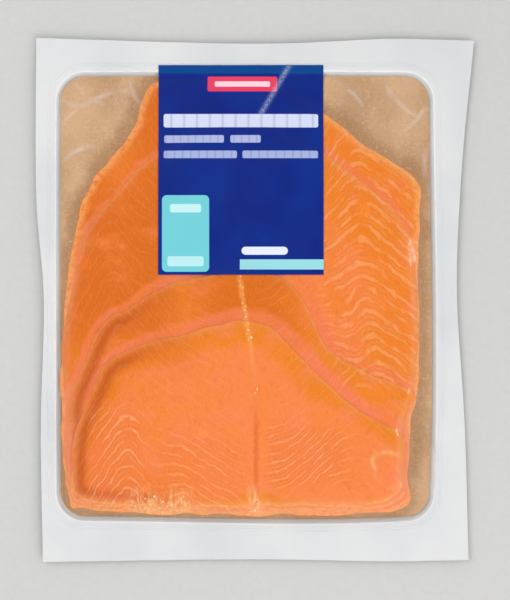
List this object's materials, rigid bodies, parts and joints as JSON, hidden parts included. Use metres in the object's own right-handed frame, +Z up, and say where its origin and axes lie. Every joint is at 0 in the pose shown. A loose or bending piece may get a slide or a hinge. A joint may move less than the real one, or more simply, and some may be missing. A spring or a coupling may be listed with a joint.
{
  "type": "smoked salmon pack",
  "caption": "Flat vacuum pack of sliced smoked salmon: white bordered base film, backing card, overlapping slices, clear top film and a paper label.",
  "frame": {"origin": "middle of the pack's outline, at the level it lies on", "axes": "+X across the pack to the right, +Y up the pack towards the label, +Z up out of the window"},
  "size_m": [0.2092, 0.25, 0.0111],
  "materials": {
    "base_film": "white opaque film with a satin sheen",
    "backing_card": "plain brown card",
    "salmon": "moist orange-pink flesh, darker at the smoked rim",
    "top_film": "clear glossy film",
    "label": "satin printed paper, navy with plain fields"
  },
  "bodies": {
    "root": {"base_film": "base_film", "backing_card": "backing_card", "salmon_slice_4": "salmon", "salmon_slice_3": "salmon", "salmon_slice_2": "salmon", "salmon_slice_1": "salmon", "top_film": "top_film", "label": "label"}
  },
  "joints": []
}
